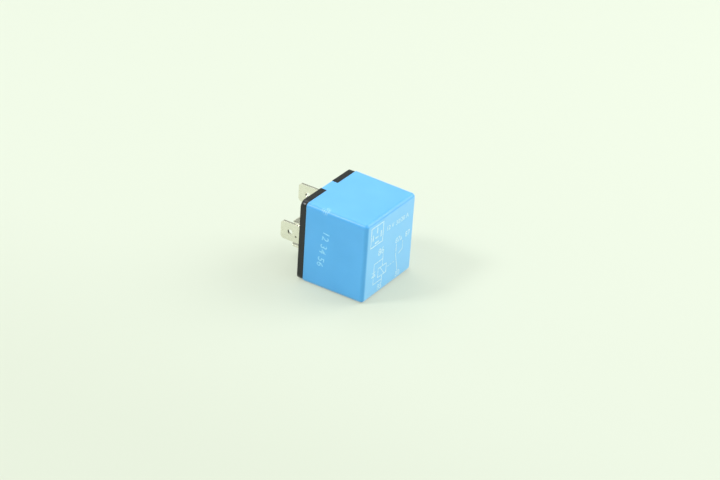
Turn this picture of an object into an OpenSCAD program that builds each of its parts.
// Five-blade plug-in relay with a square moulded cover, lying on one side.
// Every piece is modelled upright, with its blades pointing down (-z) and the
// middle of the base's outer face at the origin, and is then laid on its side.
// In the upright frame x runs across the side blades, y runs from blade 87 to
// blade 30, and z runs from the blades to the printed face.

/* [Housing] */
// Width of the square housing across its flats
housing_w = 28; // [27.4:0.1:31]
// Height of the housing from the base's outer face to the printed face
housing_h = 24.5; // [23.5:0.1:29]
// Wall of the cover
wall_t = 1.1; // [0.8:0.05:1.3]
// Draft of the cover's sides, in degrees
cover_draft = 0.5; // [0:0.1:0.9]
// Round on the cover's outer edges
cover_edge_r = 1.3; // [0.8:0.1:2]
// Thickness of the base's flange
flange_t = 2.1; // [1.6:0.1:2.6]
// Round on the flange's corners
flange_corner_r = 2; // [1.2:0.1:3]
// Height of the base's spigot inside the cover
spigot_h = 1.7; // [1.6:0.1:2.2]
// Gap between the spigot and the cover's wall
spigot_gap = 0.1; // [0.05:0.01:0.2]
// Width of the two cover tabs that reach down into the flange
cover_tab_w = 6; // [4:0.1:8]
// Radius of the snap bead on each cover tab
snap_r = 0.35; // [0.2:0.05:0.45]

/* [Blades] */
// Width of a terminal blade
blade_w = 6.3; // [5.6:0.1:6.6]
// Thickness of a terminal blade
blade_t = 0.8; // [0.6:0.05:0.9]
// Length of a blade below the base
blade_l = 10.2; // [8.5:0.1:13]
// Corner cut at a blade's tip
blade_tip = 0.9; // [0.4:0.1:1.3]
// Diameter of the detent hole in a blade
blade_hole_d = 1.8; // [1.4:0.1:2.2]
// Distance of the detent hole from the blade's tip
blade_hole_in = 3.7; // [3:0.1:4.6]
// Distance of blade 30 from the middle
blade_30_y = 7.9; // [7.6:0.1:8.2]
// Distance of blade 87 from the middle
blade_87_y = -10.1; // [-10.6:0.1:-9.9]
// Distance of the middle blade 87a from the middle
blade_87a_y = -2.1; // [-2.4:0.1:-1.6]
// Distance of the coil blades 85 and 86 from the middle, across
blade_coil_x = 9; // [8.8:0.1:9.6]
// Place of the coil blades 85 and 86 along the housing
blade_coil_y = -1.4; // [-1.8:0.1:-0.8]
// Gap between a blade and its slot in the base
slot_gap = 0.04; // [0.02:0.01:0.08]
// Depth of the shallow pocket round each slot, in the base's outer face
pocket_depth = 0.4; // [0.2:0.05:0.6]
// Rim of that pocket round the slot
pocket_rim = 0.6; // [0.4:0.05:0.8]

/* [Magnet] */
// Thickness of the yoke's bent plate
yoke_t = 1.6; // [1.3:0.1:1.8]
// Width of the yoke
yoke_w = 13; // [12:0.2:13.6]
// Inner radius of the yoke's bend
yoke_bend_r = 0.3; // [0.2:0.05:0.5]
// Radius of the rounded knife edge that carries the armature
nose_r = 0.4; // [0.3:0.05:0.5]
// Radial clearance between the knife edge and the armature's groove
pivot_gap = 0.05; // [0.03:0.01:0.09]
// Radius of the core inside the bobbin
core_r = 3.3; // [2.8:0.1:3.6]
// Radius of the pole head
pole_r = 5; // [4.4:0.1:5.4]
// Thickness of the pole head
pole_t = 1; // [0.8:0.1:1.2]
// Width of the bobbin's square flanges
bobbin_w = 13.8; // [13:0.1:14]
// Thickness of each bobbin flange
bobbin_flange_t = 0.8; // [0.6:0.1:0.9]
// Wall of the bobbin's tube
bobbin_wall = 0.7; // [0.5:0.1:0.9]
// Depth of the copper winding
winding_depth = 2.2; // [1.4:0.1:2.3]
// Wire pitch on the outer layer of the winding
winding_pitch = 0.42; // [0.3:0.02:0.6]

/* [Armature and contacts] */
// Thickness of the armature plate
armature_t = 1.4; // [1.1:0.1:1.6]
// Width of the armature plate
armature_w = 13; // [12:0.2:13.6]
// Thickness of the contact leaf spring
leaf_t = 0.3; // [0.2:0.05:0.35]
// Width of the contact leaf where it lies on the armature
leaf_w = 6; // [5.8:0.1:7]
// Radius of every contact
contact_r = 1.4; // [1.1:0.1:1.5]
// Height of a fixed contact
fixed_contact_h = 0.5; // [0.4:0.05:0.7]
// Height of each head of the moving contact
moving_contact_h = 0.75; // [0.6:0.05:0.9]
// Distance from blade 87's plane to the middle of the contacts
contact_reach = 2.7; // [2.5:0.1:2.8]
// Travel of the moving contact
travel = 1; // [0.7:0.05:1.2]
// Width of the strip that carries the upper contact
strip_w = 3; // [2.9:0.1:3.2]
// Distance of the upper strip's riser from the middle
riser_x = 8.6; // [8.3:0.1:9.4]

/* [Springs and wires] */
// Wire diameter of the return spring
spring_wire_d = 0.3; // [0.24:0.02:0.32]
// Outer diameter of the return spring
spring_d = 2; // [1.8:0.05:2.1]
// Number of turns of the return spring
spring_turns = 15; // [10:1:18]
// Diameter of the flexible copper braid
braid_d = 1.2; // [0.9:0.1:1.3]
// Diameter of the diode's body
diode_d = 2.5; // [2:0.1:2.8]
// Length of the diode's body
diode_l = 4.6; // [4:0.1:6]
// Diameter of the diode's leads
diode_lead_d = 0.6; // [0.5:0.02:0.7]
// Diameter of the winding's lead-out wires
coil_lead_d = 0.24; // [0.18:0.02:0.3]

/* [Hidden] */

$fn = 48;
eps = 0.01;
hull_fn = 32;

// Colours
cover_blue = "#64b4ec";
base_black = "#26282b";
tin_plate = "#dcdcd2";
steel_grey = "#b9bcc0";
brass_gold = "#d2ad5a";
silver_white = "#e6e6e8";
copper_red = "#b5651d";
enamel_brown = "#8c3b1e";
nylon_white = "#e9e6da";
diode_black = "#1b1b1d";

// Heights, from the base's outer face upwards
pad_h = 1;
head_room = 0.4;
pole_air = 0.05;
contact_gap = 0.03;
housing_half = housing_w / 2;
mouth_half = housing_half - wall_t;
spigot_half = mouth_half - spigot_gap;
spigot_top = flange_t + spigot_h;
ceiling_z = housing_h - wall_t;
yoke_z = spigot_top + pad_h;
yoke_floor_z = yoke_z + yoke_t;
contact_stack = blade_t + fixed_contact_h + contact_gap + travel + moving_contact_h + leaf_t;
pole_z = ceiling_z - head_room - contact_stack - armature_t - pole_air;
flange_top_z = pole_z - pole_t;
winding_z = yoke_floor_z + bobbin_flange_t;
winding_h = flange_top_z - bobbin_flange_t - winding_z;
armature_z = pole_z + pole_air;
leaf_z = armature_z + armature_t;

// Places along y
spring_pocket = 2.8;
yoke_back_y = mouth_half - spring_pocket;
yoke_face_y = yoke_back_y - yoke_t;
hinge_y = yoke_back_y - yoke_t / 2;
hinge_z = pole_z;
coil_y = yoke_face_y - yoke_bend_r - 0.05 - bobbin_w / 2;
bobbin_front_y = coil_y - bobbin_w / 2;
contact_y = blade_87_y + contact_reach;
strip_y = contact_y - strip_w / 2;
spring_y = yoke_back_y + 0.25 + spring_d / 2;

// The armature turns about the knife edge between the open and the closed stop
arm = hinge_y - contact_y;
open_angle = asin(travel / arm);
dome_r = 5;
dome_centre_z = leaf_z + leaf_t + moving_contact_h - dome_r;
open_crown_z = hinge_z + travel + (dome_centre_z - hinge_z) * cos(open_angle) + dome_r;
upper_face_z = open_crown_z + contact_gap;
upper_strip_z = upper_face_z + fixed_contact_h;
lower_face_z = leaf_z - moving_contact_h - contact_gap;
lower_pad_z = lower_face_z - fixed_contact_h - blade_t;

// Widths of the terminals' inner ends
strip_bend_r = 0.3;
channel_z = flange_t + 0.5;
channel_gap = 0.1;
shoulder_h = 0.6;
riser_87_w = 4;
post_w = 1.6;
tenon_w = 2.4;
tenon_y = yoke_face_y - 3;
diode_y = (bobbin_front_y + blade_87_y + blade_t / 2) / 2;
diode_z = yoke_floor_z + 2.6;
post_top = diode_z + 0.9;
solder_r = 1.05;
solder_z = diode_z - 0.5;
lead_turn_x = riser_x - blade_t / 2 - 0.6 - diode_lead_d / 2;

// Armature outline and its fastenings
ear_w = 0.9;
ear_gap = 0.25;
ear_h = 1.5;
nose_shoulder = 0.6;
armature_front_y = coil_y - pole_r - 1;
notch_front_y = hinge_y - nose_r - 0.6;
neck_back_y = hinge_y + nose_r + 0.6;
tongue_w = 2.2;
tongue_end_y = spring_y + 0.8;
hook_hole_d = 0.9;
leaf_rear_y = coil_y + 4.6;
rivet_r = 0.7;
rivet_fit = 0.02;
rivet_back = 3;
rivet_front = 1.8;
rivet_ys = [coil_y + rivet_back, coil_y - rivet_front];

// Return spring between the armature's tongue and the yoke's lug
lug_t = 0.8;
lug_z = yoke_floor_z + 1.4;
spring_low_z = lug_z + lug_t + 0.9;
spring_high_z = armature_z - 1.3;
hook_r = 0.72;
hook_rise = 0.35;

// Lays an upright piece on its side, with the middle of its box at x = y = 0
module lie() {
    translate([-(housing_h - blade_l) / 2, 0, housing_half])
        rotate([90, 0, 90])
            children();
}

// Holds the armature's pieces at the open stop, turned about the knife edge
module at_open_stop() {
    translate([0, hinge_y, hinge_z])
        rotate([-open_angle, 0, 0])
            translate([0, -hinge_y, -hinge_z])
                children();
}

// Square prism with rounded upright edges
module rounded_block(half, z, h, r) {
    for (x = [-1, 1])
        for (y = [-1, 1])
            translate([x * (half - r), y * (half - r), z])
                cylinder(r = r, h = h);
    translate([-half, -half + r, z])
        cube([2 * half, 2 * (half - r), h]);
    translate([-half + r, -half, z])
        cube([2 * (half - r), 2 * half, h]);
}

// Quarter bend of a strip: turns from +y to +x round the z axis, inner radius r
module quarter_bend(w, t, r) {
    intersection() {
        difference() {
            cylinder(r = r + t, h = w);
            translate([0, 0, -eps])
                cylinder(r = r, h = w + 2 * eps);
        }
        translate([-(r + t), -(r + t), 0])
            cube([r + t, r + t, w]);
    }
}

// L-shaped strip in the x-y plane, extruded by w: leg a along x, leg b along y
module bent_strip(a, b, w, t, r) {
    translate([r + t, 0, 0])
        cube([a - r - t, t, w]);
    translate([0, r + t, 0])
        cube([t, b - r - t, w]);
    translate([r + t, r + t, 0])
        quarter_bend(w, t, r);
}

// Smooth route through chosen points, by a Catmull-Rom curve
function curve_point(p, i, t) =
    let (a = p[max(i - 1, 0)], b = p[i], c = p[i + 1], d = p[min(i + 2, len(p) - 1)])
    0.5 * (2 * b + (c - a) * t + (2 * a - 5 * b + 4 * c - d) * t * t
        + (3 * b - a - 3 * c + d) * t * t * t);
function curve(p, steps) = concat(
    [for (i = [0 : len(p) - 2]) for (k = [0 : steps - 1]) curve_point(p, i, k / steps)],
    [p[len(p) - 1]]
);

// Round wire of radius r swept along a route, with closed ends
function unit(v) = v / norm(v);
function heading(p, i) = unit(p[min(i + 1, len(p) - 1)] - p[max(i - 1, 0)]);
function carried(side, dir) = unit(side - (side * dir) * dir);
function sides_from(p, i, side) =
    i == len(p) ? [] :
    let (s = carried(side, heading(p, i)))
    concat([s], sides_from(p, i + 1, s));
function ring(p, i, s, r, n) =
    let (d = heading(p, i), u = cross(d, s))
    [for (k = [0 : n - 1]) p[i] + r * (cos(360 * k / n) * s + sin(360 * k / n) * u)];
module wire(p, r, n = 8) {
    sides = sides_from(p, 0, [0.31, 0.27, 0.9]);
    points = [for (i = [0 : len(p) - 1]) each ring(p, i, sides[i], r, n)];
    walls = [
        for (i = [0 : len(p) - 2])
            for (k = [0 : n - 1])
                let (a = i * n + k, b = i * n + (k + 1) % n)
                    each [[a, a + n, b + n], [a, b + n, b]]
    ];
    start_cap = [for (k = [0 : n - 1]) k];
    end_cap = [for (k = [n - 1 : -1 : 0]) (len(p) - 1) * n + k];
    polyhedron(points, concat(walls, [start_cap, end_cap]));
}

// ---- Housing ----

// Drafted block with rounded edges, from the cover's mouth up to its face
module drafted_block(mouth, top, face, r, round_top) {
    low = mouth - r;
    high = mouth - (face - flange_t) * tan(cover_draft) - r;
    hull() {
        for (x = [-1, 1])
            for (y = [-1, 1]) {
                translate([x * low, y * low, flange_t])
                    cylinder(r = r, h = eps, $fn = hull_fn);
                if (round_top)
                    translate([x * high, y * high, top])
                        sphere(r = r, $fn = hull_fn);
                else
                    translate([x * high, y * high, top - eps])
                        cylinder(r = r, h = eps, $fn = hull_fn);
            }
    }
}

module cover_tab() {
    translate([-cover_tab_w / 2, mouth_half, 0])
        cube([cover_tab_w, wall_t, flange_t]);
    // snap bead on the tab's inner face
    translate([-cover_tab_w / 2 + 0.6, mouth_half, flange_t / 2])
        rotate([0, 90, 0])
            cylinder(r = snap_r, h = cover_tab_w - 1.2);
}

module cover() color(cover_blue) lie() {
    inner_r = max(cover_edge_r - wall_t, 0.3);
    difference() {
        drafted_block(housing_half, housing_h - cover_edge_r, housing_h, cover_edge_r, true);
        drafted_block(mouth_half, ceiling_z, ceiling_z, inner_r, false);
        translate([-mouth_half + inner_r, -mouth_half + inner_r, flange_t - 1])
            cube([2 * (mouth_half - inner_r), 2 * (mouth_half - inner_r), 1.2]);
    }
    cover_tab();
    mirror([0, 1, 0])
        cover_tab();
}

module base_slot(x, y, across) {
    gap = 2 * slot_gap;
    size = across ? [blade_t + gap, blade_w + gap] : [blade_w + gap, blade_t + gap];
    translate([x - size[0] / 2, y - size[1] / 2, -1])
        cube([size[0], size[1], spigot_top + 2]);
    // shallow pocket round the slot in the outer face
    translate([x - size[0] / 2 - pocket_rim, y - size[1] / 2 - pocket_rim, -1])
        cube([size[0] + 2 * pocket_rim, size[1] + 2 * pocket_rim, 1 + pocket_depth]);
}

// Notch in the flange for one cover tab, with the groove for its snap bead
module tab_notch() {
    translate([-cover_tab_w / 2 - spigot_gap, spigot_half, -1])
        cube([cover_tab_w + 2 * spigot_gap, wall_t + spigot_gap + 1, flange_t + 1]);
    translate([-cover_tab_w / 2 + 0.5, mouth_half, flange_t / 2])
        rotate([0, 90, 0])
            cylinder(r = snap_r + spigot_gap, h = cover_tab_w - 1);
}

// Channel in the top of the base where the strip of terminal 87a lies
module strip_channel() {
    translate([-blade_w / 2 - channel_gap, strip_y - channel_gap, channel_z])
        cube([
            blade_w + 2 * channel_gap,
            blade_87a_y + blade_t / 2 + channel_gap - strip_y + channel_gap,
            spigot_top
        ]);
    translate([0, strip_y - channel_gap, channel_z])
        cube([riser_x + blade_t / 2 + channel_gap, strip_w + 2 * channel_gap, spigot_top]);
    // relief under the bend from the blade into the strip
    translate([
        -blade_w / 2 - channel_gap,
        blade_87a_y - blade_t / 2 - strip_bend_r - channel_gap,
        channel_z - strip_bend_r - channel_gap
    ])
        cube([blade_w + 2 * channel_gap, blade_t + strip_bend_r + channel_gap, spigot_top]);
}

module yoke_pads() {
    pad_w = 2.4;
    pad_x = yoke_w / 2 - 1.5;
    for (x = [-pad_x, pad_x])
        for (y = [bobbin_front_y + 1.8, yoke_face_y - 0.5])
            translate([x - pad_w / 2, y - pad_w / 2, spigot_top - eps])
                cube([pad_w, pad_w, pad_h + eps]);
}

// Two guide walls that keep the riser of terminal 87 upright
module riser_guides() {
    guide_t = 0.9;
    guide_h = 3.2;
    for (side = [-1, 1])
        translate([side * (blade_w / 2 + 0.3 + guide_t / 2) - guide_t / 2, blade_87_y - 1.2, spigot_top - eps])
            cube([guide_t, 2, guide_h]);
}

module base() color(base_black) lie() {
    difference() {
        union() {
            rounded_block(housing_half, 0, flange_t, flange_corner_r);
            rounded_block(spigot_half, flange_t - eps, spigot_h + eps, 0.8);
            yoke_pads();
            riser_guides();
        }
        base_slot(0, blade_30_y, true);
        base_slot(blade_coil_x, blade_coil_y, true);
        base_slot(-blade_coil_x, blade_coil_y, true);
        base_slot(0, blade_87_y, false);
        base_slot(0, blade_87a_y, false);
        strip_channel();
        tab_notch();
        mirror([0, 1, 0])
            tab_notch();
    }
}

// ---- Terminals ----

// Flat blade in the y-z plane, from its tip up to height top, with a detent hole
module blade(top) {
    half = blade_w / 2;
    bevel = blade_t / 4;
    difference() {
        intersection() {
            translate([-blade_t / 2, 0, 0])
                rotate([90, 0, 90])
                    linear_extrude(blade_t)
                        polygon([
                            [-half, top], [half, top],
                            [half, -blade_l + blade_tip], [half - blade_tip, -blade_l],
                            [-half + blade_tip, -blade_l], [-half, -blade_l + blade_tip]
                        ]);
            translate([0, half + 1, 0])
                rotate([90, 0, 0])
                    linear_extrude(blade_w + 2)
                        polygon([
                            [-blade_t / 2, top + 1], [blade_t / 2, top + 1],
                            [blade_t / 2, -blade_l + 2 * bevel], [blade_t / 2 - bevel, -blade_l],
                            [-blade_t / 2 + bevel, -blade_l], [-blade_t / 2, -blade_l + 2 * bevel]
                        ]);
        }
        translate([-blade_t, 0, -blade_l + blade_hole_in])
            rotate([0, 90, 0])
                cylinder(d = blade_hole_d, h = 2 * blade_t);
    }
}

// The common terminal: its blade carries the yoke and is staked through it
module terminal_30() color(tin_plate) lie() {
    translate([0, blade_30_y, 0])
        blade(yoke_z);
    translate([-blade_t / 2, tenon_y, yoke_z - eps])
        cube([blade_t, tenon_w, yoke_t + eps]);
}

// A coil terminal, at +x: its blade narrows to a solder post beside the coil
module coil_terminal() {
    translate([blade_coil_x, blade_coil_y, 0])
        blade(spigot_top + shoulder_h);
    translate([blade_coil_x - blade_t / 2, blade_coil_y - post_w / 2, spigot_top])
        cube([blade_t, post_w, post_top - spigot_top]);
}

module terminal_85() color(tin_plate) lie() coil_terminal();

module terminal_86() color(tin_plate) lie() mirror([1, 0, 0]) coil_terminal();

// The make terminal: its riser bends over into the pad under the lower contact
module terminal_87() color(brass_gold) lie() {
    pad_end_y = contact_y + contact_r + 0.1;
    translate([0, blade_87_y, 0])
        rotate([0, 0, 90])
            blade(spigot_top + shoulder_h);
    translate([-riser_87_w / 2, blade_87_y - blade_t / 2, lower_pad_z + blade_t])
        rotate([0, 90, 0])
            bent_strip(
                lower_pad_z + blade_t - spigot_top, pad_end_y - blade_87_y + blade_t / 2,
                riser_87_w, blade_t, strip_bend_r
            );
}

// The break terminal: its strip runs along the base, up beside the coil and
// back over the moving contact
module terminal_87a() color(brass_gold) lie() {
    outer_x = riser_x + blade_t / 2;
    strip_top_z = upper_strip_z + blade_t;
    far_x = contact_r + 0.5;
    bend = strip_bend_r + blade_t;
    plate_y = strip_y;
    plate_end = blade_87a_y + blade_t / 2;
    // blade
    translate([0, blade_87a_y, 0])
        rotate([0, 0, 90])
            blade(channel_z + blade_t - bend);
    // bend from the blade into the plate, and the plate up to the strip's line
    translate([-blade_w / 2, plate_end, channel_z + blade_t])
        rotate([0, 90, 0])
            mirror([0, 1, 0])
                bent_strip(bend + eps, plate_end - plate_y, blade_w, blade_t, strip_bend_r);
    // plate across to the riser, the riser, and the strip over the contact
    translate([outer_x, plate_y + strip_w, channel_z])
        rotate([90, 0, 0])
            mirror([1, 0, 0])
                bent_strip(outer_x - blade_w / 2 + eps, (strip_top_z - channel_z) / 2, strip_w, blade_t, strip_bend_r);
    translate([outer_x, plate_y, strip_top_z])
        rotate([-90, 0, 0])
            mirror([1, 0, 0])
                bent_strip(outer_x + far_x, (strip_top_z - channel_z) / 2 + eps, strip_w, blade_t, strip_bend_r);
}

module fixed_contact_87() color(silver_white) lie()
    translate([0, contact_y, lower_face_z - fixed_contact_h])
        cylinder(r1 = contact_r, r2 = contact_r - 0.15, h = fixed_contact_h);

module fixed_contact_87a() color(silver_white) lie()
    translate([0, contact_y, upper_face_z])
        cylinder(r1 = contact_r - 0.15, r2 = contact_r, h = fixed_contact_h);

// ---- Magnet ----

module yoke() color(steel_grey) lie() {
    half = yoke_w / 2;
    difference() {
        union() {
            // L-shaped plate, floor under the coil and back leg behind it
            translate([half, yoke_back_y, yoke_z])
                rotate([90, 0, -90])
                    bent_strip(
                        yoke_back_y - bobbin_front_y, hinge_z - nose_shoulder - yoke_z,
                        yoke_w, yoke_t, yoke_bend_r
                    );
            // rounded knife edge along the top of the back leg
            translate([-half, hinge_y - nose_r, hinge_z - nose_shoulder - eps])
                cube([yoke_w, 2 * nose_r, nose_shoulder + eps]);
            translate([-half, hinge_y, hinge_z])
                rotate([0, 90, 0])
                    cylinder(r = nose_r, h = yoke_w);
            // ears that keep the armature from sliding sideways
            for (x = [-half, half - ear_w])
                translate([x, hinge_y - nose_r, hinge_z])
                    cube([ear_w, 2 * nose_r, ear_h]);
            // lug that holds the lower hook of the return spring
            translate([-tongue_w / 2, yoke_back_y - eps, lug_z])
                cube([tongue_w, spring_y + 0.8 - yoke_back_y, lug_t]);
        }
        // hole for the riveted end of the core
        translate([0, coil_y, yoke_z - 1])
            cylinder(r = core_r - 1 + rivet_fit, h = yoke_t + 2);
        // slot for the staked end of terminal 30
        translate([-blade_t / 2 - rivet_fit, tenon_y - rivet_fit, yoke_z - 1])
            cube([blade_t + 2 * rivet_fit, tenon_w + 2 * rivet_fit, yoke_t + 2]);
        translate([0, spring_y, lug_z - 1])
            cylinder(d = hook_hole_d, h = lug_t + 2);
    }
}

module core() color(steel_grey) lie() translate([0, coil_y, 0]) {
    foot_h = 0.7;
    chamfer = 0.25;
    // upset foot under the yoke, then the neck, the body and the pole head
    rotate_extrude()
        polygon([
            [0, yoke_z - foot_h], [core_r - 1.1, yoke_z - foot_h], [core_r - 0.4, yoke_z],
            [core_r - 1, yoke_z], [core_r - 1, yoke_floor_z],
            [core_r, yoke_floor_z], [core_r, flange_top_z],
            [pole_r, flange_top_z], [pole_r, pole_z - chamfer],
            [pole_r - chamfer, pole_z], [0, pole_z]
        ]);
}

// Bobbin: tube and two square flanges, with a notch where each lead comes out
module bobbin() color(nylon_white) lie() translate([0, coil_y, 0]) {
    tube_in = core_r + 0.1;
    half = bobbin_w / 2;
    difference() {
        union() {
            rounded_block(half, yoke_floor_z, bobbin_flange_t, 1.2);
            rounded_block(half, flange_top_z - bobbin_flange_t, bobbin_flange_t, 1.2);
            translate([0, 0, yoke_floor_z + eps])
                cylinder(r = tube_in + bobbin_wall, h = flange_top_z - yoke_floor_z - 2 * eps);
        }
        translate([0, 0, yoke_floor_z - 1])
            cylinder(r = tube_in, h = flange_top_z - yoke_floor_z + 2);
        for (x = [-1, 1])
            translate([x * half - 0.8, blade_coil_y - coil_y + 1.4, yoke_floor_z - 1])
                cube([1.6, 1.2, bobbin_flange_t + 2]);
    }
}

// Winding: the outer layer's turns show as half-round ridges
module winding() color(enamel_brown) lie() translate([0, coil_y, winding_z]) {
    inner = core_r + 0.1 + bobbin_wall;
    outer = inner + winding_depth;
    turns = floor(winding_h / winding_pitch);
    turn = winding_h / turns;
    ridge = [for (i = [0 : turns - 1]) for (a = [0 : 45 : 135])
        [outer - turn / 2 + turn / 2 * sin(a), turn * (i + 0.5 - 0.5 * cos(a))]];
    rotate_extrude()
        polygon(concat([[inner, 0]], ridge, [[outer - turn / 2, winding_h], [inner, winding_h]]));
}

// ---- Leads and diode ----

// Lead-out wire at +x, from the winding's side to the solder on the coil post
module coil_lead() {
    side = core_r + 0.1 + bobbin_wall + winding_depth + coil_lead_d / 2 + 0.02;
    turn_a = -22;
    route = [
        [side * cos(turn_a + 40), coil_y + side * sin(turn_a + 40), winding_z + 0.5],
        [side * cos(turn_a + 15), coil_y + side * sin(turn_a + 15), winding_z + 0.45],
        [side * cos(turn_a) + 0.3, coil_y + side * sin(turn_a), winding_z + 0.5],
        [blade_coil_x - solder_r - 0.5, blade_coil_y, solder_z - 0.2],
        [blade_coil_x - solder_r - 0.02, blade_coil_y, solder_z]
    ];
    wire(curve(route, 5), coil_lead_d / 2, 6);
}

module coil_lead_85() color(copper_red) lie() coil_lead();

module coil_lead_86() color(copper_red) lie() mirror([1, 0, 0]) coil_lead();

// Rounded drop of solder round the coil post at +x
module solder_drop() {
    difference() {
        translate([blade_coil_x, blade_coil_y, solder_z])
            sphere(r = solder_r);
        translate([blade_coil_x - blade_t / 2, blade_coil_y - post_w / 2, spigot_top])
            cube([blade_t, post_w, post_top - spigot_top]);
    }
}

module solder_85() color(tin_plate) lie() solder_drop();

module solder_86() color(tin_plate) lie() mirror([1, 0, 0]) solder_drop();

// Suppression diode across the coil, with its moulded ends chamfered
module diode() color(diode_black) lie()
    translate([-diode_l / 2, diode_y, diode_z])
        rotate([0, 90, 0])
            rotate_extrude()
                polygon([
                    [0, 0], [diode_d / 2 - 0.25, 0], [diode_d / 2, 0.25],
                    [diode_d / 2, diode_l - 0.25], [diode_d / 2 - 0.25, diode_l], [0, diode_l]
                ]);

// Diode lead at +x: straight out, round the corner and back to the solder
module diode_lead() {
    turn = 0.9;
    end_x = blade_coil_x - solder_r - 0.32;
    route = [
        [diode_l / 2, diode_y, diode_z],
        [(diode_l / 2 + lead_turn_x) / 2, diode_y, diode_z],
        [lead_turn_x - turn, diode_y, diode_z],
        [lead_turn_x - turn * 0.3, diode_y + turn * 0.3, diode_z],
        [lead_turn_x, diode_y + turn, diode_z],
        [lead_turn_x, (diode_y + blade_coil_y) / 2, diode_z],
        [min(end_x, lead_turn_x + 0.05), blade_coil_y, diode_z]
    ];
    wire(curve(route, 3), diode_lead_d / 2, 8);
}

module diode_lead_85() color(tin_plate) lie() diode_lead();

module diode_lead_86() color(tin_plate) lie() mirror([1, 0, 0]) diode_lead();

// ---- Return spring and braid ----

// Helical tension spring: one wire, hooked over the lug, wound up and hooked
// over the armature's tongue
module return_spring() color(steel_grey) lie() {
    r = (spring_d - spring_wire_d) / 2;
    steps = 12;
    rise = (spring_high_z - spring_low_z) / (spring_turns * steps);
    low_top = lug_z - hook_rise;
    high_top = leaf_z + hook_rise;
    reach = -2 * hook_r;
    low_hook = concat(
        [[reach, spring_y, low_top + 0.7]],
        [for (a = [180 : 30 : 360]) [-hook_r + hook_r * cos(a), spring_y, low_top + hook_r * sin(a)]],
        [[0, spring_y, lug_z + lug_t / 2], [0.1, spring_y, spring_low_z - 0.45]]
    );
    coil = [for (i = [0 : spring_turns * steps])
        [r * cos(360 * i / steps), spring_y + r * sin(360 * i / steps), spring_low_z + rise * i]];
    high_hook = concat(
        [[0.1, spring_y, spring_high_z + 0.45], [0, spring_y, leaf_z - armature_t / 2]],
        [for (a = [0 : 30 : 180]) [-hook_r + hook_r * cos(a), spring_y, high_top + hook_r * sin(a)]],
        [[reach, spring_y, high_top - 0.7]]
    );
    wire(concat(low_hook, coil, high_hook), spring_wire_d / 2, 6);
}

// Height of the contact leaf's top face over y while the armature is open
function open_leaf_top(y) =
    hinge_z + (leaf_z + leaf_t - hinge_z) / cos(open_angle) + (hinge_y - y) * tan(open_angle);

// Flexible braid from the yoke's back, over the knife edge, to the contact leaf
module braid() color(copper_red) lie() {
    r = braid_d / 2;
    gap = 0.04;
    x = 1.1 + 0.3 + rivet_r;
    back = yoke_back_y + r + gap;
    middle = yoke_back_y + 1.2;
    loop_z = min(ceiling_z - r - 0.5, leaf_z + leaf_t + 2.1);
    land = leaf_rear_y - 0.9;
    end = land - 2.6;
    route = [
        [x, back, yoke_floor_z - 0.6],
        [x, back, yoke_floor_z + 0.6],
        [x, middle - 0.1, yoke_floor_z + 2.6],
        [x, middle, (yoke_floor_z + pole_z) / 2],
        [x, middle, pole_z - 1.5],
        [x, middle - 0.05, pole_z + 1.4],
        [x, hinge_y + 0.9, loop_z - 0.35],
        [x, hinge_y - 0.9, loop_z],
        [x, (hinge_y + land) / 2 - 0.4, loop_z - 0.35],
        [x, land, open_leaf_top(land) + r + gap + 0.06],
        [x, (land + end) / 2, open_leaf_top((land + end) / 2) + r + gap],
        [x, end, open_leaf_top(end) + r + gap]
    ];
    wire(curve(route, 4), r, 8);
}

// ---- Armature assembly ----

module armature() color(steel_grey) lie() at_open_stop() {
    half = armature_w / 2;
    neck = yoke_w / 2 - ear_w - ear_gap;
    corner = 1.6;
    difference() {
        translate([0, 0, armature_z])
            linear_extrude(armature_t)
                polygon([
                    [-half, notch_front_y], [-half, armature_front_y + corner],
                    [-half + corner, armature_front_y], [half - corner, armature_front_y],
                    [half, armature_front_y + corner], [half, notch_front_y],
                    [neck, notch_front_y], [neck, neck_back_y],
                    [tongue_w / 2, neck_back_y], [tongue_w / 2, tongue_end_y],
                    [-tongue_w / 2, tongue_end_y], [-tongue_w / 2, neck_back_y],
                    [-neck, neck_back_y], [-neck, notch_front_y]
                ]);
        // groove that rides on the yoke's knife edge
        translate([-yoke_w, hinge_y, hinge_z])
            rotate([0, 90, 0])
                cylinder(r = nose_r + pivot_gap, h = 2 * yoke_w);
        // hole for the upper hook of the return spring
        translate([0, spring_y, armature_z - 1])
            cylinder(d = hook_hole_d, h = armature_t + 2);
        for (y = rivet_ys)
            translate([0, y, armature_z - 1])
                cylinder(r = rivet_r + rivet_fit, h = armature_t + 2);
    }
}

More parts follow.
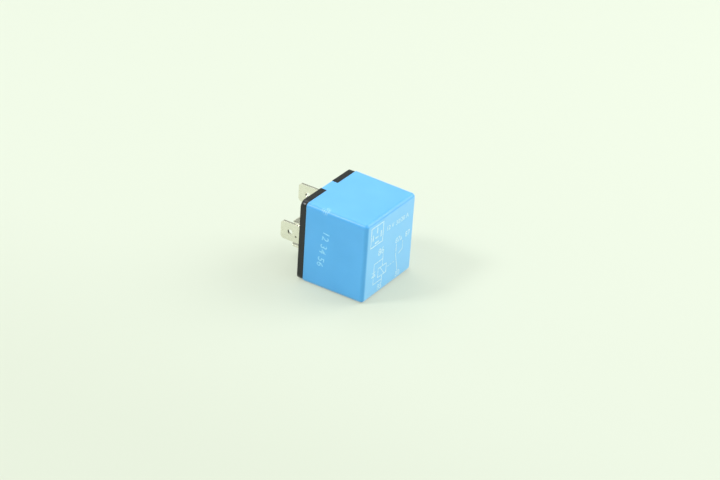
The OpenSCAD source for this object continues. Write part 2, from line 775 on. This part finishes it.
module contact_leaf() color(brass_gold) lie() at_open_stop() {
    end_r = contact_r + 0.5;
    shoulder_y = armature_front_y + 1.2;
    difference() {
        translate([0, 0, leaf_z])
            union() {
                linear_extrude(leaf_t)
                    polygon([
                        [-leaf_w / 2, leaf_rear_y], [-leaf_w / 2, shoulder_y], [-end_r, contact_y],
                        [end_r, contact_y], [leaf_w / 2, shoulder_y], [leaf_w / 2, leaf_rear_y]
                    ]);
                translate([0, contact_y, 0])
                    cylinder(r = end_r, h = leaf_t);
            }
        for (y = rivet_ys)
            translate([0, y, leaf_z - 1])
                cylinder(r = rivet_r + rivet_fit, h = 2);
        translate([0, contact_y, leaf_z - 1])
            cylinder(r = contact_r / 2 + rivet_fit, h = 2);
    }
}

// Moving contact: a rivet with a domed silver head on each side of the leaf
module moving_contact() color(silver_white) lie() at_open_stop() translate([0, contact_y, 0]) {
    cap = contact_r * contact_r / (2 * dome_r);
    translate([0, 0, leaf_z - eps])
        cylinder(r = contact_r / 2, h = leaf_t + 2 * eps);
    intersection() {
        translate([0, 0, leaf_z + leaf_t])
            cylinder(r = contact_r, h = moving_contact_h);
        translate([0, 0, dome_centre_z])
            sphere(r = dome_r, $fn = 96);
    }
    intersection() {
        translate([0, 0, leaf_z - moving_contact_h])
            cylinder(r = contact_r, h = moving_contact_h);
        translate([0, 0, leaf_z - moving_contact_h + dome_r])
            sphere(r = dome_r, $fn = 96);
    }
}

// Two rivets that fasten the leaf to the armature, flush on the pole's side
module leaf_rivets() color(steel_grey) lie() at_open_stop() {
    head_r = 1.1;
    head_h = 0.35;
    for (y = rivet_ys)
        translate([0, y, 0])
            rotate_extrude()
                polygon([
                    [0, armature_z], [rivet_r, armature_z], [rivet_r, leaf_z + leaf_t],
                    [head_r, leaf_z + leaf_t], [head_r - 0.1, leaf_z + leaf_t + head_h],
                    [0, leaf_z + leaf_t + head_h]
                ]);
}

cover();
base();
terminal_30();
terminal_85();
terminal_86();
terminal_87();
terminal_87a();
fixed_contact_87();
fixed_contact_87a();
yoke();
core();
bobbin();
winding();
coil_lead_85();
coil_lead_86();
solder_85();
solder_86();
diode();
diode_lead_85();
diode_lead_86();
return_spring();
braid();
armature();
contact_leaf();
moving_contact();
leaf_rivets();
